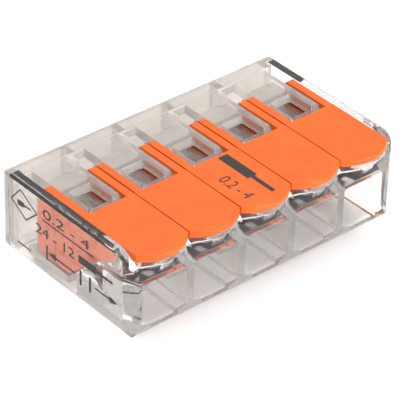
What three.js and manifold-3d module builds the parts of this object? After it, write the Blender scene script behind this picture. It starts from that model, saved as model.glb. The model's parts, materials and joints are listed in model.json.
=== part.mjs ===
// Five-way lever wire connector: a clear housing and rear cover, one tinned busbar,
// five cage springs and five orange clamping levers that swing up through 90 degrees.
// Millimetres, +X across the poles, +Z up, wires enter at the -Y face.
// The origin is the middle of the underside.
import * as THREE from 'three';
import { mergeVertices } from 'three/addons/utils/BufferGeometryUtils.js';
import Module from 'manifold-3d';

// ---------- driving dimensions ----------
const POLES = 5;
const PITCH = 5.6;
const WIDTH = 30;
const HEIGHT = 8.4;
const DEPTH = 18.7;               // rear face to lever tips
const LEVER_OVERHANG = 0.75;      // lever tips stand this far in front of the housing
const SIDE_WALL = 1;
const FLOOR = 0.8;
const METAL_GAP = 0.1;            // play between loose neighbours
const POLE_X = Array.from({ length: POLES }, (_, i) => (i - (POLES - 1) / 2) * PITCH);

const REAR_Y = DEPTH / 2;
const TIP_Y = -DEPTH / 2;
const FRONT_Y = TIP_Y + LEVER_OVERHANG;
const INNER_X = WIDTH / 2 - SIDE_WALL;

// lever pivot and lever form
const PIVOT_Y = 2.6;
const PIVOT_Z = 4.6;
const PIN_RADIUS = 0.7;
const LEVER_HALF = 2.725;         // half width of one lever
const ARM_INNER = 1.98;           // inner face of the lever's side plates
const CUT_Y = -1.16;              // front edge of the window between the arms
const HANDLE_UNDER = 7.7;
const TIP_ARC = 3.9;              // radius of the rounded lever tip seen from above
const LEVER_TRAVEL = THREE.MathUtils.degToRad(90);

// wire sockets
const SOCKET_HALF = 2.4;
const SOCKET_ROOF = 5.4;
const SOCKET_END_Y = -4.4;
const GUIDE_END_Y = -1.2;
const WIRE_Z = 3.2;
const GUIDE_RADIUS = 1.6;

// rear cover
const SPLIT_Y = 7.5;              // rear end of the housing body
const DECK_FRONT_Y = 6.85;
const DECK_UNDER = 7.35;
const ISLAND_HALF = 1.85;
const ISLAND_TOP = 8.25;
const ISLAND_SWEEP = 4.6;         // keeps the island inside the path of the lever's window edge
const TEST_SLOT = { left: -1.42, right: 1.1, front: -0.4, rear: 2.5 };

// busbar and its cages
const BAR_BOTTOM = FLOOR + METAL_GAP;
const BAR_TOP = 1.6;
const BAR_FRONT_Y = 0.3;
const BAR_REAR_Y = 5.9;
const CAGE_HALF = 1.8;
const CAGE_SHEET = 0.3;
const CAGE_TOP = 7.2;

// cage spring
const BOW_Y = -1.2;
const BOW_Z = 5.75;
const BOW_RADIUS = 1.13;
const SPRING_SHEET = 0.28;
const SPRING_HALF = 1.4;
const LEG_ANGLE = THREE.MathUtils.degToRad(232.4);   // where the clamping leg leaves the bow
const LEG_LENGTH = 4.9;
const LEG_TRAVEL = THREE.MathUtils.degToRad(30);
const BEND_PLAY = THREE.MathUtils.degToRad(4);
const LUG_RADIUS = 0.28;
const LUG_AT = 2.6;               // distance of the lugs along the clamping leg
const LUG_REACH = 2.2;

// ---------- shape tools ----------
const wasm = await Module();
wasm.setup();

const X = new THREE.Vector3(1, 0, 0);
const Y = new THREE.Vector3(0, 1, 0);
const Z = new THREE.Vector3(0, 0, 1);
const ALONG_X = new THREE.Matrix4().makeBasis(Y, Z, X);
const ALONG_Y = new THREE.Matrix4().makeBasis(X, Z, Y.clone().negate());

function solid(geometry) {
  geometry.deleteAttribute('normal');
  geometry.deleteAttribute('uv');
  const merged = mergeVertices(geometry, 1e-4);
  return new wasm.Manifold(new wasm.Mesh({
    numProp: 3,
    vertProperties: Float32Array.from(merged.attributes.position.array),
    triVerts: Uint32Array.from(merged.index.array),
  }));
}

function surface(body) {
  const mesh = body.getMesh();
  const geometry = new THREE.BufferGeometry();
  geometry.setAttribute('position', new THREE.BufferAttribute(mesh.vertProperties, 3));
  geometry.setIndex(new THREE.BufferAttribute(mesh.triVerts, 1));
  geometry.computeVertexNormals();
  return geometry;
}

function join(bodies) {
  return bodies.reduce((whole, body) => whole.add(body));
}

function box(x0, x1, y0, y1, z0, z1) {
  const geometry = new THREE.BoxGeometry(x1 - x0, y1 - y0, z1 - z0);
  geometry.translate((x0 + x1) / 2, (y0 + y1) / 2, (z0 + z1) / 2);
  return solid(geometry);
}

function outline(points) {
  return new THREE.Shape(points.map(([a, b]) => new THREE.Vector2(a, b)));
}

// rectangle with its own radius at each corner: low-low, high-low, high-high, low-high
function roundedRectangle(a0, a1, b0, b1, [r00, r10, r11, r01]) {
  const shape = new THREE.Shape();
  const quarter = Math.PI / 2;
  shape.moveTo(a0 + r00, b0);
  shape.lineTo(a1 - r10, b0);
  if (r10) shape.absarc(a1 - r10, b0 + r10, r10, -quarter, 0, false);
  shape.lineTo(a1, b1 - r11);
  if (r11) shape.absarc(a1 - r11, b1 - r11, r11, 0, quarter, false);
  shape.lineTo(a0 + r01, b1);
  if (r01) shape.absarc(a0 + r01, b1 - r01, r01, quarter, 2 * quarter, false);
  shape.lineTo(a0, b0 + r00);
  if (r00) shape.absarc(a0 + r00, b0 + r00, r00, 2 * quarter, 3 * quarter, false);
  return shape;
}

function extrude(shape, depth, curveSegments) {
  return new THREE.ExtrudeGeometry(shape, { depth, curveSegments, bevelEnabled: false });
}

// a (y, z) outline carried along X
function acrossPoles(shape, x0, x1, curveSegments = 6) {
  return solid(extrude(shape, x1 - x0, curveSegments).applyMatrix4(ALONG_X).translate(x0, 0, 0));
}

// an (x, z) outline carried along Y
function intoDepth(shape, y0, y1, curveSegments = 6) {
  return solid(extrude(shape, y1 - y0, curveSegments).applyMatrix4(ALONG_Y).translate(0, y1, 0));
}

// an (x, y) outline carried along Z
function upwards(shape, z0, z1, curveSegments = 6) {
  return solid(extrude(shape, z1 - z0, curveSegments).translate(0, 0, z0));
}

function pinAlongX(x0, x1, y, z, radius, sides) {
  const geometry = new THREE.CylinderGeometry(radius, radius, x1 - x0, sides);
  geometry.rotateZ(Math.PI / 2);
  geometry.translate((x0 + x1) / 2, y, z);
  return solid(geometry);
}

// the same cut or rib at every pole
function atPoles(body) {
  return join(POLE_X.map((x) => body.translate([x, 0, 0])));
}

// the same piece on both sides of a pole
function bothSides(body) {
  return body.add(body.mirror([1, 0, 0]));
}

// ---------- housing ----------
const HEADER_TOP = 7.6;
const HEADER_EDGE_Z = 6.2;
const FRONT_TOP_RADIUS = 2.6;
const FRONT_FOOT_RADIUS = 1.1;
const REAR_TOP_RADIUS = 1.7;      // nearly the whole depth of the cover
const REAR_FOOT_RADIUS = 0.9;
const FRONT_POST_RADIUS = 1.5;    // upright edges beside the first and last socket
const REAR_POST_RADIUS = 1.7;
const SIDE_FOOT_RADIUS = 1.6;
const SIDE_RIM_RADIUS = 0.3;

// keeps a body inside the rounded lower and upper edges of the two side walls
function withRoundedSides(body, y0, y1) {
  const radii = [SIDE_FOOT_RADIUS, SIDE_FOOT_RADIUS, SIDE_RIM_RADIUS, SIDE_RIM_RADIUS];
  const section = roundedRectangle(-WIDTH / 2, WIDTH / 2, 0, HEIGHT, radii);
  return body.intersect(intoDepth(section, y0, y1, 5));
}

// room above the socket block and over the whole inside, for the levers and the metal parts
function leverBay() {
  const beyond = 1;
  return outline([
    [FRONT_Y - beyond, HEADER_EDGE_Z],
    [FRONT_Y, HEADER_EDGE_Z],
    [FRONT_Y + 0.4, HEADER_TOP],
    [FRONT_Y + 1.4, HEADER_TOP],
    [FRONT_Y + 1.6, 5.9],
    [-4.9, 5.9],
    [-4.2, 5.7],
    [-2.3, 4.2],
    [GUIDE_END_Y, 3],
    [GUIDE_END_Y, FLOOR],
    [SPLIT_Y + beyond, FLOOR],
    [SPLIT_Y + beyond, HEIGHT + beyond],
    [FRONT_Y - beyond, HEIGHT + beyond],
  ]);
}

// the guide stands higher between the two arms of a lever than under them
function guideHood() {
  const profile = outline([[-4.9, 3], [-2.5, 3], [-2.5, 5.1], [-4.1, 5.9], [-4.9, 5.9]]);
  return acrossPoles(profile, -CAGE_HALF, CAGE_HALF);
}

function socket() {
  const chamferX = 0.9;
  const chamferZ = 0.6;
  const profile = outline([
    [-SOCKET_HALF + chamferX, FLOOR],
    [SOCKET_HALF - chamferX, FLOOR],
    [SOCKET_HALF, FLOOR + chamferZ],
    [SOCKET_HALF, SOCKET_ROOF],
    [-SOCKET_HALF, SOCKET_ROOF],
    [-SOCKET_HALF, FLOOR + chamferZ],
  ]);
  return intoDepth(profile, FRONT_Y - 1, SOCKET_END_Y);
}

// round funnel from the socket down to the wire guide
function funnel() {
  const mouth = 2.1;
  const taper = 1.5;
  const sides = 16;
  const cone = new THREE.CylinderGeometry(GUIDE_RADIUS, mouth, taper, sides);
  cone.translate(0, SOCKET_END_Y + taper / 2 - 0.01, WIRE_Z);
  const bore = new THREE.CylinderGeometry(GUIDE_RADIUS, GUIDE_RADIUS, 3, sides);
  bore.translate(0, SOCKET_END_Y + taper + 1.45, WIRE_Z);
  return solid(cone).add(solid(bore));
}

function housingBody() {
  const profileRadii = [FRONT_FOOT_RADIUS, 0, 0, FRONT_TOP_RADIUS];
  const profile = roundedRectangle(FRONT_Y, SPLIT_Y, 0, HEIGHT, profileRadii);
  const planRadii = [FRONT_POST_RADIUS, FRONT_POST_RADIUS, 0, 0];
  const plan = roundedRectangle(-WIDTH / 2, WIDTH / 2, FRONT_Y, SPLIT_Y, planRadii);
  const block = acrossPoles(profile, -WIDTH / 2, WIDTH / 2, 8).intersect(upwards(plan, 0, HEIGHT));
  const shell = withRoundedSides(block, FRONT_Y, SPLIT_Y);
  const bay = acrossPoles(leverBay(), -INNER_X, INNER_X);
  const body = shell.subtract(bay).add(atPoles(guideHood()));
  const coverKey = bothSides(box(INNER_X - 0.5, INNER_X + 0.5, SPLIT_Y - 0.6, SPLIT_Y + 1, 3, 5));
  return body.subtract(atPoles(socket())).subtract(atPoles(funnel())).subtract(coverKey);
}

// ---------- rear cover ----------
function island() {
  const start = Math.acos(-(PIVOT_Y - CUT_Y - 0.21) / ISLAND_SWEEP);
  const end = Math.asin((ISLAND_TOP - PIVOT_Z) / ISLAND_SWEEP);
  const steps = 4;
  const frontY = PIVOT_Y + ISLAND_SWEEP * Math.cos(start);
  const points = [[frontY, DECK_UNDER - 0.3]];
  for (let i = 0; i <= steps; i += 1) {
    const angle = THREE.MathUtils.lerp(start, Math.PI - end, i / steps);
    points.push([
      PIVOT_Y + ISLAND_SWEEP * Math.cos(angle),
      PIVOT_Z + ISLAND_SWEEP * Math.sin(angle),
    ]);
  }
  points.push([DECK_FRONT_Y + 0.3, ISLAND_TOP]);
  points.push([DECK_FRONT_Y + 0.3, DECK_UNDER]);
  points.push([frontY + 0.5, DECK_UNDER]);
  points.push([frontY + 0.5, DECK_UNDER - 0.3]);
  const { left, right, front, rear } = TEST_SLOT;
  const testSlot = box(left, right, front, rear, DECK_UNDER - 1, ISLAND_TOP + 1);
  return acrossPoles(outline(points), -ISLAND_HALF, ISLAND_HALF).subtract(testSlot);
}

function rearCover() {
  const capFront = SPLIT_Y + METAL_GAP;
  const planRadii = [0, 0, REAR_POST_RADIUS, REAR_POST_RADIUS];
  const plan = roundedRectangle(-WIDTH / 2, WIDTH / 2, capFront, REAR_Y, planRadii);
  const profileRadii = [0, REAR_FOOT_RADIUS, REAR_TOP_RADIUS, 0];
  const profile = roundedRectangle(capFront, REAR_Y, 0, HEIGHT, profileRadii);
  const block = upwards(plan, 0, HEIGHT).intersect(acrossPoles(profile, -WIDTH / 2, WIDTH / 2));
  const cap = withRoundedSides(block, capFront, REAR_Y);
  const plugX = INNER_X - METAL_GAP;
  const plugFloor = FLOOR + METAL_GAP;
  const plug = box(-plugX, plugX, DECK_FRONT_Y, capFront + 0.3, plugFloor, HEIGHT);
  const keys = bothSides(box(plugX - 0.2, plugX + 0.45, SPLIT_Y - 0.5, capFront + 0.3, 3.1, 4.9));
  const wireEnd = box(-2.45, 2.45, DECK_FRONT_Y - 1, REAR_Y - 0.9, 1.7, DECK_UNDER);
  return join([cap, plug, keys]).subtract(atPoles(wireEnd)).add(atPoles(island()));
}

// ---------- busbar with one cage per pole ----------
function cage() {
  const cheek = outline([
    [2, BAR_TOP - 0.2],
    [5.6, BAR_TOP - 0.2],
    [5.6, CAGE_TOP],
    [3.7, CAGE_TOP],
    [3.7, 5.2],
    [2, 4],
  ]);
  const inner = CAGE_HALF - CAGE_SHEET;
  const saddle = pinAlongX(-3, 3, PIVOT_Y, PIVOT_Z, PIN_RADIUS + METAL_GAP, 14);
  const cheeks = bothSides(acrossPoles(cheek, inner, CAGE_HALF)).subtract(saddle);
  const back = box(-CAGE_HALF, CAGE_HALF, 5.3, 5.6, BAR_TOP - 0.2, CAGE_TOP);
  const roof = box(-CAGE_HALF, CAGE_HALF, 3.7, 5.6, CAGE_TOP - 0.25, CAGE_TOP);
  return join([cheeks, back, roof]);
}

function busbar() {
  const halfLength = INNER_X - 0.3;
  const strip = box(-halfLength, halfLength, BAR_FRONT_Y, BAR_REAR_Y, BAR_BOTTOM, BAR_TOP);
  const bridgeGap = box(PITCH / 2 - 0.6, PITCH / 2 + 0.6, 4.4, BAR_REAR_Y + 1, 0, BAR_TOP + 1);
  const gaps = join(POLE_X.slice(0, -1).map((x) => bridgeGap.translate([x, 0, 0])));
  return strip.subtract(gaps).add(atPoles(cage()));
}

// ---------- cage springs ----------
// a sector of the round bow between two angles
function bowSector(from, to, segments) {
  const inner = BOW_RADIUS - SPRING_SHEET;
  const shape = new THREE.Shape();
  shape.absarc(BOW_Y, BOW_Z, BOW_RADIUS, from, to, false);
  shape.absarc(BOW_Y, BOW_Z, inner, to, from, true);
  return acrossPoles(shape, -SPRING_HALF, SPRING_HALF, segments);
}

function clampSpring() {
  const top = BOW_Z + BOW_RADIUS;
  const bow = bowSector(Math.PI / 2, LEG_ANGLE - BEND_PLAY, 12);
  const contactLeg = box(-SPRING_HALF, SPRING_HALF, BOW_Y, 5.1, top - SPRING_SHEET, top);
  return bow.add(contactLeg);
}

// a point on the clamping leg: distance along it, and depth below its outer face
function onLeg(along, inwards) {
  const radius = BOW_RADIUS - inwards;
  return [
    BOW_Y + radius * Math.cos(LEG_ANGLE) - along * Math.sin(LEG_ANGLE),
    BOW_Z + radius * Math.sin(LEG_ANGLE) + along * Math.cos(LEG_ANGLE),
  ];
}

function springLeg() {
  const strip = outline([
    onLeg(0, 0),
    onLeg(LEG_LENGTH, 0),
    onLeg(LEG_LENGTH - 0.25, SPRING_SHEET),
    onLeg(0, SPRING_SHEET),
  ]);
  const leg = acrossPoles(strip, -SPRING_HALF, SPRING_HALF);
  const [lugY, lugZ] = onLeg(LUG_AT, SPRING_SHEET / 2);
  const lugs = bothSides(pinAlongX(SPRING_HALF - 0.3, LUG_REACH, lugY, lugZ, LUG_RADIUS, 10));
  return leg.add(lugs);
}

// ---------- levers ----------
// turns a (y, z) point about a centre; positive angles lift the +Y side
function turned([y, z], [cy, cz], angle) {
  const dy = y - cy;
  const dz = z - cz;
  return [
    cy + dy * Math.cos(angle) - dz * Math.sin(angle),
    cz + dy * Math.sin(angle) + dz * Math.cos(angle),
  ];
}

// where the lug stands in the closed lever's own frame, at a share of the opening travel
function lugInLever(share) {
  const lifted = turned(onLeg(LUG_AT, SPRING_SHEET / 2), [BOW_Y, BOW_Z], share * LEG_TRAVEL);
  return turned(lifted, [PIVOT_Y, PIVOT_Z], share * LEVER_TRAVEL);
}

// groove in the arm that the leg's lug follows while the lever opens
function camGroove() {
  const width = LUG_RADIUS + 0.13;
  const steps = 12;
  const nearSide = [];
  const farSide = [];
  for (let i = 0; i <= steps; i += 1) {
    const [y, z] = lugInLever(i / steps);
    const [aheadY, aheadZ] = lugInLever(i / steps + 0.01);
    const angle = Math.atan2(aheadZ - z, aheadY - y);
    const offset = [-Math.sin(angle) * width, Math.cos(angle) * width];
    nearSide.push([y + offset[0], z + offset[1]]);
    farSide.unshift([y - offset[0], z - offset[1]]);
  }
  const track = acrossPoles(outline(nearSide.concat(farSide)), ARM_INNER - 0.2, LUG_REACH + 0.1);
  const ends = [0, 1].map((share) => {
    const [y, z] = lugInLever(share);
    return pinAlongX(ARM_INNER - 0.2, LUG_REACH + 0.1, y, z, width, 14);
  });
  return join([track, ...ends]);
}

function handlePlan() {
  const tipCentre = TIP_Y + TIP_ARC;
  const reach = Math.asin(LEVER_HALF / TIP_ARC);
  const shape = new THREE.Shape();
  shape.moveTo(LEVER_HALF, CUT_Y);
  shape.lineTo(-LEVER_HALF, CUT_Y);
  shape.absarc(0, tipCentre, TIP_ARC, 1.5 * Math.PI - reach, 1.5 * Math.PI + reach, false);
  return shape;
}

function lever() {
  const armProfile = outline([
    [CUT_Y - 0.5, HEIGHT],
    [3.85, HEIGHT],
    [4.1, HEIGHT - 0.25],
    [4.2, 6.6],
    [4.2, 3.2],
    [3.3, 2.2],
    [-0.1, 2.2],
    [-2.25, 4.45],
    [-4.3, 5.95],
    [-5.2, 6.2],
    [-5.9, 7.05],
    [-6.4, HANDLE_UNDER + 0.2],
    [CUT_Y - 0.5, HANDLE_UNDER + 0.2],
  ]);
  const arm = acrossPoles(armProfile, ARM_INNER, LEVER_HALF).subtract(camGroove());
  const pin = pinAlongX(CAGE_HALF - CAGE_SHEET, ARM_INNER + 0.2, PIVOT_Y, PIVOT_Z, PIN_RADIUS, 14);
  const handle = upwards(handlePlan(), HANDLE_UNDER, HEIGHT, 12);
  return join([handle, bothSides(arm.add(pin))]);
}

// ---------- assembly ----------
const clearPlastic = new THREE.MeshStandardMaterial({
  color: '#d9d4d0', roughness: 0.08, metalness: 0, transparent: true, opacity: 0.35,
});
const orangePlastic = new THREE.MeshStandardMaterial({ color: '#ec7535', roughness: 0.45, metalness: 0 });
const tinnedCopper = new THREE.MeshStandardMaterial({ color: '#c9c7c2', roughness: 0.35, metalness: 1 });
const springSteel = new THREE.MeshStandardMaterial({ color: '#b9babb', roughness: 0.3, metalness: 1 });

const connector = new THREE.Group();

function place(name, geometry, material, x = 0) {
  const mesh = new THREE.Mesh(geometry, material);
  mesh.name = name;
  mesh.position.x = x;
  connector.add(mesh);
}

place('housing_body', surface(housingBody()), clearPlastic);
place('rear_cover', surface(rearCover()), clearPlastic);
place('busbar', surface(busbar()), tinnedCopper);

const springShape = surface(clampSpring());
const legShape = surface(springLeg());
const leverShape = surface(lever());
POLE_X.forEach((x, i) => {
  place(`clamp_spring_${i + 1}`, springShape, springSteel, x);
  place(`spring_leg_${i + 1}`, legShape, springSteel, x);
  place(`lever_${i + 1}`, leverShape, orangePlastic, x);
});

export default connector;
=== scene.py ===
# %% [markdown]
# # A five-way lever wire connector
# The real thing is a splicing connector three centimetres long: a clear moulded housing, a
# clear rear cover, five orange levers, and inside them a tinned busbar with five steel cage
# springs. The CAD frame gives every size and place, and this lesson builds the
# finely shaped pieces that stand for it. Lengths in this script are millimetres, and one
# factor turns them into Blender's metres.

# %% Load the frame
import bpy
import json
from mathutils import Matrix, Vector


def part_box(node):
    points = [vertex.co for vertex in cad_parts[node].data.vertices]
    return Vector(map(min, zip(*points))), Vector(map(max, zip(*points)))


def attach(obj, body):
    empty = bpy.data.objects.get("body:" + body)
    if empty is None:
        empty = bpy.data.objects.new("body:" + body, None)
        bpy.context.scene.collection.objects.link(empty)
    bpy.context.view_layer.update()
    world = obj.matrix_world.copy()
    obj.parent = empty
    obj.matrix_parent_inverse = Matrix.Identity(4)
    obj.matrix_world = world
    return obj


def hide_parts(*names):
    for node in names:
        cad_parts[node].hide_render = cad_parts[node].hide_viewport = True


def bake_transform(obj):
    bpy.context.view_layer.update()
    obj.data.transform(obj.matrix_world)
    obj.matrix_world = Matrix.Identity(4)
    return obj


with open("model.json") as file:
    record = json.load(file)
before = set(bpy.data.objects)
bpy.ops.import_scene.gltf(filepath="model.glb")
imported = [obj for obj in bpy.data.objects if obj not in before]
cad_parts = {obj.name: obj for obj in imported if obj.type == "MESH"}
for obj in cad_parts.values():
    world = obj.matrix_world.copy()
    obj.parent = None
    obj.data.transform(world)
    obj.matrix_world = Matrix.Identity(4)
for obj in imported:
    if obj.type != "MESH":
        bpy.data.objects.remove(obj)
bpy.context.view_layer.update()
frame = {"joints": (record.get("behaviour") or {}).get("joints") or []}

# %% Units and the numbers that the frame gives
import json
import math

import bmesh
import bpy
from mathutils import Matrix, Vector

MM = 0.001


def box_mm(node):
    low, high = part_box(node)
    return Vector(low) / MM, Vector(high) / MM


housing_low, housing_high = box_mm("housing_body")
cover_high = box_mm("rear_cover")[1]
lever_low, lever_high = box_mm("lever_3")
spring_high = box_mm("clamp_spring_3")[1]
busbar_low, busbar_high = box_mm("busbar")
joints = {joint["name"]: joint for joint in frame["joints"]}
poles = range(1, 6)
pole_x = {n: joints[f"lever_swing_{n}"]["pos_m"][0] / MM for n in poles}
pivot_y, pivot_z = (c / MM for c in joints["lever_swing_3"]["pos_m"][1:])
bow_y, bow_z = (c / MM for c in joints["clamp_lift_3"]["pos_m"][1:])
print("poles at", [round(x, 2) for x in pole_x.values()], "pivot", round(pivot_y, 2), round(pivot_z, 2))

# %% [markdown]
# ## Shapes from outlines
# Every piece here was designed as a flat outline pushed through the part: a moulded wall, a
# bent strip or a stamped sheet. So the helpers draw an outline, push it along one axis, join
# and cut the solids, and then round the edges, as a mould maker does. Round stretches are
# drawn by a formula, and the small edge radii come from a bevel, because a sharp edge never
# shows the bright line that real plastic has.

# %% Outlines
def arc(a, b, radius, start, end, steps):
    """Points on a circle about (a, b), from one angle to another in degrees."""
    turns = [math.radians(start + (end - start) * i / steps) for i in range(steps + 1)]
    return [(a + radius * math.cos(t), b + radius * math.sin(t)) for t in turns]


def rounded(a0, a1, b0, b1, radii, steps=8):
    """A rectangle with its own radius at each corner: low-low, high-low, high-high, low-high."""
    corners = [(a0, b0, 1, 1, 180), (a1, b0, -1, 1, 270), (a1, b1, -1, -1, 0), (a0, b1, 1, -1, 90)]
    points = []
    for (a, b, da, db, start), radius in zip(corners, radii):
        if radius:
            points += arc(a + da * radius, b + db * radius, radius, start, start + 90, steps)
        else:
            points.append((a, b))
    return points


# %% Solids
PLACES = {
    "x": lambda a, b, t: (t, a, b),
    "y": lambda a, b, t: (a, t, b),
    "z": lambda a, b, t: (a, b, t),
}


def loft(rings, name="blank"):
    """A closed solid through rings of points, all with the same number of points."""
    shape = bmesh.new()
    rows = [[shape.verts.new(Vector(point) * MM) for point in ring] for ring in rings]
    count = len(rings[0])
    for lower, upper in zip(rows, rows[1:]):
        for i in range(count):
            j = (i + 1) % count
            shape.faces.new((lower[i], lower[j], upper[j], upper[i]))
    shape.faces.new(rows[0])
    shape.faces.new(rows[-1])
    bmesh.ops.recalc_face_normals(shape, faces=shape.faces)
    mesh = bpy.data.meshes.new(name)
    shape.to_mesh(mesh)
    shape.free()
    piece = bpy.data.objects.new(name, mesh)
    bpy.context.scene.collection.objects.link(piece)
    return piece


def slab(outline, axis, low, high):
    """An outline pushed along one axis. It is given as (y, z), (x, z) or (x, y)."""
    place = PLACES[axis]
    return loft([[place(a, b, t) for a, b in outline] for t in (low, high)])


def block(x0, x1, y0, y1, z0, z1):
    return slab([(x0, y0), (x1, y0), (x1, y1), (x0, y1)], "z", z0, z1)


def rod(y, z, radius, x0, x1, sides=32):
    return slab(arc(y, z, radius, 0, 360 - 360 / sides, sides - 1), "x", x0, x1)


def copies(make, places=None):
    """The same blank at every pole, or at the x places given."""
    made = []
    for x in places if places is not None else pole_x.values():
        piece = make()
        piece.data.transform(Matrix.Translation((x * MM, 0, 0)))
        made.append(piece)
    return made


def both_sides(make):
    """A blank and its mirror image across the middle of a pole."""
    near, far = make(), make()
    far.data.transform(Matrix.Scale(-1, 4, (1, 0, 0)))
    far.data.flip_normals()
    return [near, far]


# %% Joining, cutting and rounding
def apply_modifiers(piece):
    """Bakes the modifiers into the mesh, so that later steps see the real faces."""
    graph = bpy.context.evaluated_depsgraph_get()
    mesh = bpy.data.meshes.new_from_object(piece.evaluated_get(graph))
    old = piece.data
    piece.modifiers.clear()
    piece.data = mesh
    bpy.data.meshes.remove(old)
    return piece


def combine(piece, others, operation):
    """Joins (UNION) or cuts (DIFFERENCE) a piece with blanks, and uses the blanks up."""
    for other in others:
        change = piece.modifiers.new("combine", "BOOLEAN")
        change.operation = operation
        change.solver = "EXACT"
        change.object = other
    apply_modifiers(piece)
    for other in others:
        bpy.data.objects.remove(other)
    tidy = bmesh.new()
    tidy.from_mesh(piece.data)
    bmesh.ops.remove_doubles(tidy, verts=tidy.verts, dist=0.002 * MM)
    bmesh.ops.dissolve_limit(tidy, angle_limit=math.radians(0.5), verts=tidy.verts, edges=tidy.edges)
    tidy.to_mesh(piece.data)
    tidy.free()
    return piece


def round_edges(piece, width, steps=3, angle=28, where=None):
    """Rounds the sharp edges; where(middle, direction) in millimetres picks some of them."""
    shape = bmesh.new()
    shape.from_mesh(piece.data)
    sharp = [edge for edge in shape.edges if len(edge.link_faces) == 2
             and edge.calc_face_angle(0) > math.radians(angle)]
    if where:
        sharp = [edge for edge in sharp
                 if where((edge.verts[0].co + edge.verts[1].co) / 2 / MM,
                          (edge.verts[1].co - edge.verts[0].co).normalized())]
    bmesh.ops.bevel(shape, geom=sharp, offset=width * MM, offset_type="OFFSET", segments=steps,
                    profile=0.5, affect="EDGES", clamp_overlap=True, miter_outer="ARC")
    shape.to_mesh(piece.data)
    shape.free()
    return piece


def finish_piece(piece, name, material, body, nodes, sharp=40):
    """Names the piece, gives it its finish and lets it ride on its body in place of CAD nodes."""
    piece.name = name
    piece.data.name = name
    piece.data.materials.clear()
    piece.data.materials.append(material)
    piece.data.shade_smooth()
    piece.data.set_sharp_from_angle(angle=math.radians(sharp))
    weighted = piece.modifiers.new("even shading", "WEIGHTED_NORMAL")
    weighted.keep_sharp = True
    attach(piece, body)
    if nodes:
        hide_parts(*nodes)
    print(f"{name}: {len(piece.data.polygons)} faces on {body}")
    return piece


# %% [markdown]
# ## Colour and node helpers
# Colours are written as the sRGB hex values that a paint chart gives, and one function turns
# them into the linear values that the shader adds light with. One helper makes a shader node,
# fills its sockets with plain numbers or links, and keeps each material short enough to read.

# %% Colour and node helpers
def srgb(hex_colour):
    """An sRGB hex colour as linear RGBA."""
    channels = [int(hex_colour[i:i + 2], 16) / 255 for i in (1, 3, 5)]
    linear = [c / 12.92 if c <= 0.04045 else ((c + 0.055) / 1.055) ** 2.4 for c in channels]
    return (*linear, 1.0)


def add(tree, kind, inputs=None, **settings):
    """Adds a node: settings are its properties, inputs its sockets by name or number."""
    made = tree.nodes.new(kind)
    for key, value in settings.items():
        setattr(made, key, value)
    for key, value in (inputs or {}).items():
        if isinstance(value, bpy.types.NodeSocket):
            tree.links.new(value, made.inputs[key])
        else:
            made.inputs[key].default_value = value
    return made


def new_material(name):
    material = bpy.data.materials.new(name)
    material.use_nodes = True
    tree = material.node_tree
    shader = tree.nodes["Principled BSDF"]
    coordinates = add(tree, "ShaderNodeTexCoord")
    return material, tree, shader, coordinates.outputs["Object"]


def ramp(tree, factor, stops):
    """A colour ramp with (position, hex) stops."""
    made = add(tree, "ShaderNodeValToRGB", {"Fac": factor})
    elements = made.color_ramp.elements
    while len(elements) < len(stops):
        elements.new(0.5)
    for element, (position, colour) in zip(elements, stops):
        element.position = position
        element.color = srgb(colour)
    return made.outputs["Color"]


def per_mm(size_mm):
    """Noise scale that gives features of this size, on coordinates in metres."""
    return 1 / (size_mm * MM)


# %% [markdown]
# ## Clear moulded polycarbonate
# The housing and cover are polycarbonate. To the eye it is a nearly colourless glass, bright
# along every edge, so it is made as a glass shader: that bends the view of the metal and the
# orange plates inside, which a flat see-through colour can't do. Polycarbonate has an index
# near 1.585, and the shader uses 1.4, chosen for softer edges. The housing comes from a
# polished mould, and the cover from a finely ground one, which leaves it slightly hazy.
# Slow waves 3 mm long stand for the flow of the melt, and a fine ripple of 0.35 mm keeps the
# highlights from looking like cut crystal. Rays from lamps pass straight through, so that the
# pieces inside are lit as softly as in real clear plastic.

# %% Polycarbonate
def moulded_polycarbonate(name, tints, clearness, polish):
    material, tree, shader, place = new_material(name)
    flow = add(tree, "ShaderNodeTexNoise", {"Vector": place, "Scale": per_mm(3), "Detail": 2})
    ripple = add(tree, "ShaderNodeTexNoise", {"Vector": place, "Scale": per_mm(0.35), "Detail": 2})
    tint = ramp(tree, flow.outputs["Fac"], [(0.35, tints[0]), (0.65, tints[1])])
    tree.links.new(tint, shader.inputs["Base Color"])
    gloss = add(tree, "ShaderNodeMapRange", {
        "Value": ripple.outputs["Fac"], "From Min": 0.3, "From Max": 0.7,
        "To Min": polish[0], "To Max": polish[1],
    })
    tree.links.new(gloss.outputs["Result"], shader.inputs["Roughness"])
    waves = add(tree, "ShaderNodeBump", {
        "Strength": 0.12, "Distance": 0.05 * MM, "Height": flow.outputs["Fac"],
    })
    skin = add(tree, "ShaderNodeBump", {
        "Strength": 0.06, "Distance": 0.01 * MM, "Height": ripple.outputs["Fac"],
        "Normal": waves.outputs["Normal"],
    })
    tree.links.new(skin.outputs["Normal"], shader.inputs["Normal"])
    shader.inputs["Transmission Weight"].default_value = clearness
    shader.inputs["IOR"].default_value = 1.4
    ray = add(tree, "ShaderNodeLightPath")
    let_through = add(tree, "ShaderNodeBsdfTransparent", {"Color": srgb("#FDFCFC")})
    both = add(tree, "ShaderNodeMixShader", {
        "Fac": ray.outputs["Is Shadow Ray"], 1: shader.outputs["BSDF"], 2: let_through.outputs["BSDF"],
    })
    tree.links.new(both.outputs["Shader"], tree.nodes["Material Output"].inputs["Surface"])
    return material


clear_plastic = moulded_polycarbonate(
    "clear_polycarbonate_polished_mould", ["#F8F6F4", "#F3F0ED"], 0.99, (0.02, 0.07))
hazy_plastic = moulded_polycarbonate(
    "clear_polycarbonate_fine_ground_mould", ["#DDD8D3", "#D3CEC9"], 0.84, (0.12, 0.22))
print("made", clear_plastic.name, "and", hazy_plastic.name)

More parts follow.
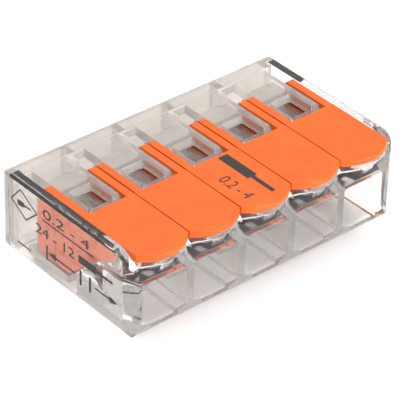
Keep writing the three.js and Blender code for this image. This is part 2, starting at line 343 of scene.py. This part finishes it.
# %% [markdown]
# ## Orange polyamide
# The levers are glass-filled polyamide, moulded in a tool with a fine spark-eroded grain. That
# grain gives a soft satin surface: the colour stays even and deep, and highlights spread out
# along the rounded rims. The grain is 0.12 mm across, with a little cloudiness 2 mm wide from
# the way the pigment flows.

# %% Polyamide
def moulded_polyamide():
    material, tree, shader, place = new_material("orange_polyamide_spark_grain")
    cloud = add(tree, "ShaderNodeTexNoise", {"Vector": place, "Scale": per_mm(2.2), "Detail": 3})
    grain = add(tree, "ShaderNodeTexNoise", {"Vector": place, "Scale": per_mm(0.12), "Detail": 2})
    colour = ramp(tree, cloud.outputs["Fac"], [(0.3, "#CF5404"), (0.7, "#D85D07")])
    tree.links.new(colour, shader.inputs["Base Color"])
    gloss = add(tree, "ShaderNodeMapRange", {
        "Value": grain.outputs["Fac"], "From Min": 0.3, "From Max": 0.7,
        "To Min": 0.38, "To Max": 0.52,
    })
    tree.links.new(gloss.outputs["Result"], shader.inputs["Roughness"])
    relief = add(tree, "ShaderNodeBump", {
        "Strength": 0.25, "Distance": 0.012 * MM, "Height": grain.outputs["Fac"],
    })
    tree.links.new(relief.outputs["Normal"], shader.inputs["Normal"])
    shader.inputs["IOR"].default_value = 1.53
    shader.inputs["Specular IOR Level"].default_value = 0.32
    return material


orange_plastic = moulded_polyamide()
print("made", orange_plastic.name)

# %% [markdown]
# ## Tinned copper and spring steel
# The busbar is stamped from copper strip and plated with matt tin: a pale, warm, soft-looking
# grey. The springs are bent from cold-rolled stainless strip, which is cooler and brighter,
# with drawn lines along the strip. Both are metals, so they keep the default index, and the
# difference is made by colour, roughness and the direction of the fine lines.

# %% Metals
def tinned_copper():
    material, tree, shader, place = new_material("tin_plated_copper_stamped")
    cloud = add(tree, "ShaderNodeTexNoise", {"Vector": place, "Scale": per_mm(0.8), "Detail": 4})
    colour = ramp(tree, cloud.outputs["Fac"], [(0.3, "#A9A59F"), (0.7, "#BDB9B3")])
    tree.links.new(colour, shader.inputs["Base Color"])
    gloss = add(tree, "ShaderNodeMapRange", {
        "Value": cloud.outputs["Fac"], "To Min": 0.28, "To Max": 0.5,
    })
    tree.links.new(gloss.outputs["Result"], shader.inputs["Roughness"])
    relief = add(tree, "ShaderNodeBump", {
        "Strength": 0.2, "Distance": 0.01 * MM, "Height": cloud.outputs["Fac"],
    })
    tree.links.new(relief.outputs["Normal"], shader.inputs["Normal"])
    shader.inputs["Metallic"].default_value = 1.0
    return material


def spring_steel():
    material, tree, shader, place = new_material("stainless_spring_strip_rolled")
    stretched = add(tree, "ShaderNodeMapping", {"Vector": place, "Scale": (1.0, 0.05, 0.05)})
    lines = add(tree, "ShaderNodeTexNoise", {
        "Vector": stretched.outputs["Vector"], "Scale": per_mm(0.08), "Detail": 3,
    })
    colour = ramp(tree, lines.outputs["Fac"], [(0.3, "#A9AAAB"), (0.7, "#C9CACB")])
    tree.links.new(colour, shader.inputs["Base Color"])
    gloss = add(tree, "ShaderNodeMapRange", {
        "Value": lines.outputs["Fac"], "To Min": 0.2, "To Max": 0.36,
    })
    tree.links.new(gloss.outputs["Result"], shader.inputs["Roughness"])
    relief = add(tree, "ShaderNodeBump", {
        "Strength": 0.25, "Distance": 0.006 * MM, "Height": lines.outputs["Fac"],
    })
    tree.links.new(relief.outputs["Normal"], shader.inputs["Normal"])
    shader.inputs["Metallic"].default_value = 1.0
    return material


tin = tinned_copper()
steel = spring_steel()
print("made", tin.name, "and", steel.name)

# %% [markdown]
# ## Pad-printed ink
# The marks are pad printed: a thin black film with slightly soft, uneven edges and a dull
# finish. The film is only hundredths of a millimetre thick, but it is made as a real thin
# solid, so that it stays with the piece it is printed on.

# %% Ink
def pad_ink():
    material, tree, shader, place = new_material("black_ink_pad_printed")
    speck = add(tree, "ShaderNodeTexNoise", {"Vector": place, "Scale": per_mm(0.1), "Detail": 3})
    colour = ramp(tree, speck.outputs["Fac"], [(0.3, "#0D0B0A"), (0.75, "#1C1714")])
    tree.links.new(colour, shader.inputs["Base Color"])
    shader.inputs["Roughness"].default_value = 0.55
    return material


ink = pad_ink()
print("made", ink.name)

# %% [markdown]
# ## The housing body
# The housing is one clear moulding: a floor, two side walls with a large round on the front
# top corner, and a thick front block with the five wire sockets. It is cut from one block in
# the order a designer would draw it: outside first, then the bay for the levers, then the
# sockets and the funnels behind them.

# %% Housing dimensions
PRINT_ROOM = 0.02                      # the walls stand back by the thickness of the ink
side_x = housing_high.x - PRINT_ROOM
inner_x = 14.0
front_y = housing_low.y
split_y = housing_high.y
roof_z = housing_high.z
floor_z = 0.8
header_edge_z = 6.2
header_top_z = 7.6
front_top_radius = 2.6
front_foot_radius = 1.1
front_post_radius = 1.5
rear_top_radius = 1.7
rear_foot_radius = 0.9
rear_post_radius = 1.7
side_foot_radius = 1.6
side_rim_radius = 0.3
socket_half = 2.4
socket_roof = 5.4
socket_end = -4.4
guide_radius = 1.6
wire_z = 3.2
guide_end = -1.2
tip_arc = 3.9
lever_half = 2.725
tip_centre_y = lever_low.y + tip_arc
print("housing", round(2 * side_x, 2), "mm wide, front at", round(front_y, 2))


# %% Housing blanks
def outer_block(y0, y1, side_radii, plan_radii):
    """The outside of a moulding: what three rounded outlines, seen square on, have in common."""
    block_blank = slab(rounded(y0, y1, 0, roof_z, side_radii, 14), "x", -side_x, side_x)
    plan = slab(rounded(-side_x, side_x, y0, y1, plan_radii, 10), "z", -1, roof_z + 1)
    foot_and_rim = [side_foot_radius, side_foot_radius, side_rim_radius, side_rim_radius]
    section = slab(rounded(-side_x, side_x, 0, roof_z, foot_and_rim, 8), "y", y0 - 1, y1 + 1)
    return combine(block_blank, [plan, section], "INTERSECT")


def lever_bay():
    front = front_y
    return slab([
        (front - 2, header_edge_z), (front, header_edge_z),
        (front + 0.4, header_top_z), (front + 1.4, header_top_z),
        *arc(front + 1.9, 6.2, 0.3, 180, 270, 4),
        (-4.9, 5.9), (-4.2, 5.7), (-2.3, 4.2), (guide_end, 3.0),
        *arc(guide_end + 0.4, floor_z + 0.4, 0.4, 180, 270, 4),
        (split_y + 2, floor_z), (split_y + 2, roof_z + 2), (front - 2, roof_z + 2),
    ], "x", -inner_x, inner_x)


def guide_hood():
    return slab([(-4.9, 3), (-2.5, 3), (-2.5, 5.1), (-4.1, 5.9), (-4.9, 5.9)], "x", -1.8, 1.8)


def socket_blank():
    """Wire socket: a flat channel in the floor with a step and a sloping ledge on each side."""
    right = [(1.42, floor_z), (1.55, floor_z + 0.34), (socket_half, floor_z + 0.62)]
    right += arc(socket_half - 0.3, socket_roof - 0.3, 0.3, 0, 90, 4)
    left = [(-x, z) for x, z in reversed(right)]
    return slab(right + left, "y", front_y - 1, socket_end)


def funnel_blank():
    mouth, taper = 2.1, 1.5
    rings = []
    for y, radius in ((socket_end - 0.01, mouth), (socket_end + taper, guide_radius), (0, guide_radius)):
        rings.append([(a, y, b) for a, b in arc(0, wire_z, radius, 0, 350, 35)])
    return loft(rings)


def lever_rest():
    """The front lip under a lever: straight at its foot, and following the lever's tip on top.
    It stands clear of its neighbours and of the front face, so that the union stays closed."""
    steps = 18
    half_foot, half_top, top_arc = 2.76, 2.66, tip_arc - 0.22
    foot_y, foot_z = front_y + 0.05, header_edge_z - 0.17
    foot, top = [], []
    for i in range(steps + 1):
        share = 2 * i / steps - 1
        foot.append((share * half_foot, foot_y, foot_z))
        x = share * half_top
        top.append((x, tip_centre_y - math.sqrt(top_arc ** 2 - x ** 2), header_top_z))
    back = front_y + 1.35
    foot += [(half_foot, back, foot_z), (-half_foot, back, foot_z)]
    top += [(half_top, back, header_top_z), (-half_top, back, header_top_z)]
    return loft([foot, top])


# %% Housing
shell = outer_block(front_y, split_y, [front_foot_radius, 0, 0, front_top_radius],
                    [front_post_radius, front_post_radius, 0, 0])
combine(shell, [lever_bay()], "DIFFERENCE")
combine(shell, copies(guide_hood) + copies(lever_rest), "UNION")
combine(shell, copies(socket_blank) + copies(funnel_blank), "DIFFERENCE")
round_edges(shell, 0.07, 2)
finish_piece(shell, "housing_clear_moulding", clear_plastic, "root",
             ["housing_body"])

# %% [markdown]
# ## The rear cover
# The cover closes the back and carries the deck: five tongues reach forward between the arms
# of the levers, and each has a rectangular test slot through which a probe reaches the spring.
# The front of a tongue is rounded about the lever's pivot, because the edge of the lever's
# window sweeps past it. It is built as a cap with rounded corners, hollowed behind each pole,
# with the tongues joined on.

# %% Cover dimensions
deck_front = 6.85
deck_under = 7.35
tongue_half = 1.85
tongue_top = 8.25
tongue_sweep = 4.6
cap_front = split_y + 0.1
print("cover from", round(cap_front, 2), "to", round(cover_high.y, 2), "mm")


# %% Cover blanks
def tongue():
    low_angle = math.degrees(math.acos(-3.55 / tongue_sweep))
    high_angle = 180 - math.degrees(math.asin((tongue_top - pivot_z) / tongue_sweep))
    nose = arc(pivot_y, pivot_z, tongue_sweep, low_angle, high_angle, 6)
    front = nose[0][0]
    return slab([
        (front, deck_under - 0.3), *nose, (deck_front + 0.3, tongue_top),
        (deck_front + 0.3, deck_under), (front + 0.5, deck_under), (front + 0.5, deck_under - 0.3),
    ], "x", -tongue_half, tongue_half)


def test_slot():
    plan = rounded(-1.42, 1.1, -0.4, 2.5, [0.25] * 4, 4)
    return slab(plan, "z", deck_under - 1, tongue_top + 1)


def ejector_mark():
    """The shallow round print that an ejector pin leaves on a tongue."""
    return slab(arc(0, 4.4, 0.6, 0, 345, 23), "z", tongue_top - 0.06, tongue_top + 1)


def wire_end_room():
    return block(-2.45, 2.45, deck_front - 1, cover_high.y - 0.9, 1.7, deck_under)


# %% Cover
cap = outer_block(cap_front, cover_high.y, [0, rear_foot_radius, rear_top_radius, 0],
                  [0, 0, rear_post_radius, rear_post_radius])
plug_x = inner_x - 0.1
combine(cap, [block(-plug_x, plug_x, deck_front, cap_front + 0.3, floor_z + 0.1, roof_z)], "UNION")
combine(cap, copies(wire_end_room), "DIFFERENCE")
combine(cap, copies(tongue), "UNION")
combine(cap, copies(test_slot) + copies(ejector_mark), "DIFFERENCE")
round_edges(cap, 0.07, 2)
finish_piece(cap, "cover_clear_moulding", hazy_plastic, "root",
             ["rear_cover"])

# %% [markdown]
# ## The busbar
# One strip of tinned copper joins all five poles, and over it a cage is bent up at each pole.
# The cage takes the spring's contact leg under its roof and carries the lever's pins in two
# round saddles. Stamped parts have a crisp side and a rolled side, so the edges get only a
# very small round.

# %% Busbar
bar_top = 1.6
cage_half = 1.8
cage_sheet = 0.3
pin_radius = 0.7


def cage_cheek():
    outline = [(2, bar_top - 0.1), (5.6, bar_top - 0.1), (5.6, busbar_high.z),
               (3.7, busbar_high.z), (3.7, 5.2), (2, 4)]
    return slab(outline, "x", cage_half - cage_sheet, cage_half)


def cage_back():
    return block(-cage_half, cage_half, 5.3, 5.6, bar_top - 0.1, busbar_high.z)


def cage_roof():
    return block(-cage_half, cage_half, 3.7, 5.6, busbar_high.z - 0.25, busbar_high.z)


def saddle():
    return rod(pivot_y, pivot_z, pin_radius + 0.1, -3, 3, 40)


bar = block(busbar_low.x, busbar_high.x, busbar_low.y, busbar_high.y, busbar_low.z, bar_top)
gap_x = [x + 2.8 for x in list(pole_x.values())[:-1]]
combine(bar, copies(lambda: block(-0.6, 0.6, 4.4, busbar_high.y + 1, 0, 3), gap_x), "DIFFERENCE")
cheeks = [side for x in pole_x.values() for side in both_sides(cage_cheek)]
for number, side in enumerate(cheeks):
    side.data.transform(Matrix.Translation((list(pole_x.values())[number // 2] * MM, 0, 0)))
combine(bar, cheeks + copies(cage_back) + copies(cage_roof), "UNION")
combine(bar, copies(saddle), "DIFFERENCE")
round_edges(bar, 0.04, 2)
finish_piece(bar, "busbar_stamped", tin, "root", ["busbar"])

# %% [markdown]
# ## The cage springs
# Each spring is one strip, bent round into a bow with two legs. The straight contact leg lies
# under the roof of the cage, and the clamping leg presses the wire on the busbar. When the
# lever lifts the clamping leg, the strip flexes at the bow. Here each spring is one mesh with
# the small lugs at its sides joined on, and it is not attached to either body.

# %% Springs
bow_radius = spring_high.z - bow_z
strip = 0.28
leg_angle = 232.4
leg_length = 4.9
spring_half = spring_high.x


def spring_strip():
    outer = [(spring_high.y, spring_high.z)] + arc(bow_y, bow_z, bow_radius, 90, leg_angle, 24)
    inner = arc(bow_y, bow_z, bow_radius - strip, leg_angle, 90, 24)
    inner.append((spring_high.y, spring_high.z - strip))
    turn = math.radians(leg_angle)
    along = Vector((-math.sin(turn), math.cos(turn)))
    inwards = Vector((-math.cos(turn), -math.sin(turn)))
    foot = Vector(outer[-1])
    steps = 10
    outer_leg = [foot + along * leg_length * i / steps for i in range(1, steps + 1)]
    inner_leg = [foot + along * (leg_length - 0.2) * i / steps + inwards * strip
                 for i in range(steps, 0, -1)]
    outline = outer + [tuple(p) for p in outer_leg] + [tuple(p) for p in inner_leg] + inner
    return slab(outline, "x", -spring_half, spring_half)


def spring_lugs():
    turn = math.radians(leg_angle)
    y = bow_y + (bow_radius - strip / 2) * math.cos(turn) - 2.6 * math.sin(turn)
    z = bow_z + (bow_radius - strip / 2) * math.sin(turn) + 2.6 * math.cos(turn)
    return [rod(y, z, 0.26, -2.18, 2.18, 24)]


for n in poles:
    spring = combine(spring_strip(), spring_lugs(), "UNION")
    spring.data.transform(Matrix.Translation((pole_x[n] * MM, 0, 0)))
    round_edges(spring, 0.04, 2)
    spring.name = f"cage_spring_bent_strip_{n}"
    spring.data.name = spring.name
    spring.data.materials.append(steel)
    spring.data.shade_smooth()
    spring.data.set_sharp_from_angle(angle=math.radians(40))
    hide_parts(f"clamp_spring_{n}", f"spring_leg_{n}")
    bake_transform(spring)
print("springs made for", len(poles), "poles")

# %% [markdown]
# ## The levers
# A lever is one orange moulding: a flat handle with a rounded tip, a window for the cover's
# tongue, and two side plates that reach down into the housing. Each plate has a pin that turns
# in the busbar's saddle; the curved groove that takes the spring's lug is not cut here. The
# handle's rim is well rounded, because a fingertip lifts it, and the rest has only the small
# radius of a mould.

# %% Lever dimensions
lever_top = lever_high.z - PRINT_ROOM / 2
handle_under = 7.7
window_y = -1.16
arm_inner = 1.98
handle_half = lever_half + 0.03
lip_radius = 0.3
print("lever handle", round(lever_top - handle_under, 2), "mm thick at its tip")


# %% Lever blanks
def handle_ring(z, inset):
    """The handle's outline at one height. The inset is full along the tip and fades out at its ends."""
    reach = math.degrees(math.asin(handle_half / tip_arc))
    steps = 36
    ring = [(handle_half, window_y, z), (-handle_half, window_y, z)]
    for i in range(steps + 1):
        share = i / steps
        fade = min(1, 7 * min(share, 1 - share) + 0.12)
        radius = tip_arc - inset * fade
        turn = math.radians(270 - reach + 2 * reach * share)
        ring.append((radius * math.cos(turn), tip_centre_y + radius * math.sin(turn), z))
    return ring


def handle_blank():
    low, high = handle_under, lever_top
    under = lip_radius * 0.6
    rings = []
    for turn in (0, 22.5, 45, 67.5, 90):
        t = math.radians(turn)
        rings.append(handle_ring(low + under * (1 - math.cos(t)), under * (1 - math.sin(t))))
    for turn in (90, 72, 54, 36, 18, 0):
        t = math.radians(turn)
        rings.append(handle_ring(high - lip_radius * (1 - math.cos(t)), lip_radius * (1 - math.sin(t))))
    return loft(rings)


def arm_blank():
    outline = [
        (window_y - 0.6, lever_top), *arc(3.85, lever_top - 0.35, 0.35, 90, 0, 5),
        (4.2, 3.2), *arc(3.3, 3.1, 0.9, 0, -90, 6), (-0.1, 2.2), (-2.25, 4.45),
        (-4.3, 5.95), (-5.2, 6.2), (-5.9, 7.05), (-6.35, handle_under + 0.33),
        (window_y - 0.6, handle_under + 0.33),
    ]
    return slab(outline, "x", arm_inner, lever_half)


def pin_blank():
    return rod(pivot_y, pivot_z, pin_radius, cage_half - cage_sheet, arm_inner + 0.2, 32)


# %% Levers
def lever_shape():
    shape = handle_blank()
    combine(shape, both_sides(arm_blank), "UNION")
    behind_tip = lambda mid, along: mid.y > tip_centre_y - 2.75
    round_edges(shape, 0.05, 2, where=behind_tip)
    combine(shape, both_sides(pin_blank), "UNION")
    return shape


for n in poles:
    lever = lever_shape()
    lever.data.transform(Matrix.Translation((pole_x[n] * MM, 0, 0)))
    finish_piece(lever, f"lever_moulding_{n}", orange_plastic, f"lever_body_{n}",
                 [f"lever_{n}"], sharp=20)

# %% [markdown]
# ## The printed marks
# A strip gauge on the left wall shows how much insulation to take off: two arrows, a stop line
# and the length in millimetres. Above it stand the wire sizes as plain numbers, and the middle
# lever carries a small picture of a stripped wire. Each mark is a film 0.025 mm thick that
# ends flush with the CAD box, which is why the walls were drawn back by that much.

# %% Marks on a flat face
ink_on_wall = 0.025
ink_on_lever = 0.018


def bar_mark(a, b, width):
    """The corners of a straight stroke from a to b."""
    a, b = Vector(a), Vector(b)
    side = (b - a).normalized().orthogonal() * width / 2
    return [a + side, b + side, b - side, a - side]


def number_mark(text, left, foot, height, length):
    """Numbers in the built-in font, stretched to a given height and length."""
    curve = bpy.data.curves.new(text, "FONT")
    curve.body = text
    curve.extrude = 0.5
    piece = bpy.data.objects.new(text, curve)
    bpy.context.scene.collection.objects.link(piece)
    bpy.context.view_layer.update()
    mesh = bpy.data.meshes.new_from_object(piece.evaluated_get(bpy.context.evaluated_depsgraph_get()))
    bpy.data.objects.remove(piece)
    xs, ys = ([vertex.co[i] for vertex in mesh.vertices] for i in (0, 1))
    for vertex in mesh.vertices:
        x, y, z = vertex.co
        vertex.co = (left + (x - min(xs)) / (max(xs) - min(xs)) * length,
                     foot + (y - min(ys)) / (max(ys) - min(ys)) * height, z)
    return mesh


def print_on(name, strokes, numbers, place, low, high, body):
    """One ink piece: flat strokes and numbers, put on a face by place(right, up, depth)."""
    shape = bmesh.new()
    for stroke in strokes:
        rows = [[shape.verts.new(place(u, v, depth) * MM) for u, v in stroke] for depth in (low, high)]
        count = len(stroke)
        for i in range(count):
            j = (i + 1) % count
            shape.faces.new((rows[0][i], rows[0][j], rows[1][j], rows[1][i]))
        shape.faces.new(rows[0])
        shape.faces.new(rows[1])
    for mesh in numbers:
        for vertex in mesh.vertices:
            u, v, z = vertex.co
            vertex.co = place(u, v, low if z < 0 else high) * MM
        shape.from_mesh(mesh)
        bpy.data.meshes.remove(mesh)
    bmesh.ops.remove_doubles(shape, verts=shape.verts, dist=0.0005 * MM)
    bmesh.ops.recalc_face_normals(shape, faces=shape.faces)
    mesh = bpy.data.meshes.new(name)
    shape.to_mesh(mesh)
    shape.free()
    mesh.materials.append(ink)
    piece = bpy.data.objects.new(name, mesh)
    bpy.context.scene.collection.objects.link(piece)
    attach(piece, body)
    print(f"{name}: {len(mesh.polygons)} faces on {body}")


# %% Gauge and sizes on the left wall
frame_corners = [(-7.2, 6.2), (-5.9, 7.72), (-3.65, 6.4), (-5.15, 5.0)]
gauge = [bar_mark(a, b, 0.13) for a, b in zip(frame_corners, frame_corners[1:] + frame_corners[:1])]
gauge += [
    bar_mark((-6.3, 6.3), (-5.4, 6.34), 0.5), bar_mark((-5.4, 6.34), (-4.5, 6.38), 0.16),
    bar_mark((-2.85, 6.3), (4.0, 6.3), 0.12),
    bar_mark((-2.3, 2.5), (-2.3, 4.0), 0.2),
    [(-2.2, 3.3), (-1.1, 3.62), (-1.1, 2.98)], bar_mark((-1.15, 3.3), (1.5, 3.3), 0.15),
    bar_mark((4.2, 3.3), (6.2, 3.3), 0.15), [(7.15, 3.3), (6.1, 3.62), (6.1, 2.98)],
    bar_mark((-6.4, 2.15), (-4.5, 2.15), 0.14),
    bar_mark((2.0, 5.1), (4.3, 5.1), 0.75), bar_mark((4.3, 5.1), (6.5, 5.1), 0.24),
]
sizes_mm = [
    number_mark("0.2 - 4", -2.8, 6.62, 0.92, 6.2),
    number_mark("24 - 12", -3.8, 4.65, 0.92, 5.2),
    number_mark("11", 2.15, 2.5, 1.5, 1.5),
]
print_on("ink_strip_gauge", gauge, sizes_mm, lambda u, v, depth: Vector((depth, -u, v)),
         housing_low.x, housing_low.x + ink_on_wall, "root")

# %% Wire picture on the middle lever
wire_picture = [
    bar_mark((1.5, 0.95), (5.4, 0.95), 1.05), bar_mark((5.4, 0.95), (8.1, 0.95), 0.42),
]
print_on("ink_lever_mark", wire_picture, [number_mark("0.2 - 4", 4.0, -1.75, 1.15, 3.6)],
         lambda u, v, depth: Vector((v, -u, depth)),
         lever_high.z - ink_on_lever, lever_high.z, "lever_body_3")

# %% [markdown]
# ## Floor, light and camera
# The connector stands on a pale seamless sheet, in soft light from a large box overhead, a weak
# one at the left and a long low one in front, which reaches through the sockets and lights the
# floor below them. A white room round it is what the clear plastic shows by bending, so the
# room is part of the look: it is a little darker towards the horizon, to draw the edges. Light
# crosses many walls of the housing before it gets out, so the scene allows 32 bounces; with
# the usual dozen, the clear block in front comes out darker.

# %% Floor
floor_mesh = bpy.data.meshes.new("floor")
reach = 0.6
floor_mesh.from_pydata([(-reach, -reach, 0), (reach, -reach, 0), (reach, reach, 0), (-reach, reach, 0)],
                       [], [(0, 1, 2, 3)])
floor = bpy.data.objects.new("floor", floor_mesh)
bpy.context.scene.collection.objects.link(floor)
paper, paper_tree, paper_shader, paper_place = new_material("white_paper_sweep")
fibre = add(paper_tree, "ShaderNodeTexNoise", {"Vector": paper_place, "Scale": per_mm(40), "Detail": 2})
paper_tree.links.new(ramp(paper_tree, fibre.outputs["Fac"], [(0.3, "#FAFAFA"), (0.7, "#FDFDFD")]),
                     paper_shader.inputs["Base Color"])
paper_shader.inputs["Roughness"].default_value = 0.9
floor_mesh.materials.append(paper)
print("floor laid,", reach * 2, "m across")

# %% Light
world = bpy.data.worlds.new("white_room")
bpy.context.scene.world = world
world.use_nodes = True
room = world.node_tree
look = add(room, "ShaderNodeTexCoord")
height = add(room, "ShaderNodeSeparateXYZ", {"Vector": look.outputs["Generated"]})
level = add(room, "ShaderNodeMapRange", {
    "Value": height.outputs["Z"], "From Min": -1.0, "From Max": 1.0,
})
shades = ramp(room, level.outputs["Result"],
              [(0.3, "#D5D2D0"), (0.5, "#E0DDDB"), (0.7, "#F2F1F0"), (1.0, "#FFFFFF")])
room.links.new(shades, room.nodes["Background"].inputs["Color"])
room.nodes["Background"].inputs["Strength"].default_value = 0.95


def soft_box(name, place_mm, size_mm, watts):
    lamp = bpy.data.lights.new(name, "AREA")
    lamp.energy = watts
    lamp.shape = "RECTANGLE"
    lamp.size, lamp.size_y = (s * MM for s in size_mm)
    holder = bpy.data.objects.new(name, lamp)
    holder.location = Vector(place_mm) * MM
    holder.rotation_euler = (-holder.location).to_track_quat("-Z", "Y").to_euler()
    bpy.context.scene.collection.objects.link(holder)
    return holder


soft_box("overhead_box", (40, 60, 200), (160, 120), 0.24)
soft_box("side_box", (-190, -40, 110), (90, 90), 0.1)
soft_box("front_box", (50, -210, 60), (170, 70), 0.4)
wall_crossings = 32
bpy.context.scene.cycles.max_bounces = wall_crossings
bpy.context.scene.cycles.transmission_bounces = wall_crossings

# %% Camera
azimuth, elevation, roll = math.radians(-41.18), math.radians(34.74), math.radians(1.68)
aim = Vector((1.239, 1.555, 2.044)) * MM
distance = 232.7 * MM
back = Vector((math.sin(azimuth) * math.cos(elevation),
               -math.cos(azimuth) * math.cos(elevation), math.sin(elevation)))
camera_data = bpy.data.cameras.new("camera")
camera_data.sensor_width = 36
camera_data.lens = 2666.9 * 36 / 400
camera_data.clip_start = 0.001
camera = bpy.data.objects.new("camera", camera_data)
camera.matrix_world = (Matrix.Translation(aim + back * distance)
                       @ back.to_track_quat("Z", "Y").to_matrix().to_4x4()
                       @ Matrix.Rotation(roll, 4, "Z"))
bpy.context.scene.collection.objects.link(camera)
bpy.context.scene.camera = camera
print("camera at", [round(c * 1000, 1) for c in camera.matrix_world.translation], "mm")
bpy.context.scene.view_settings.view_transform = "Standard"
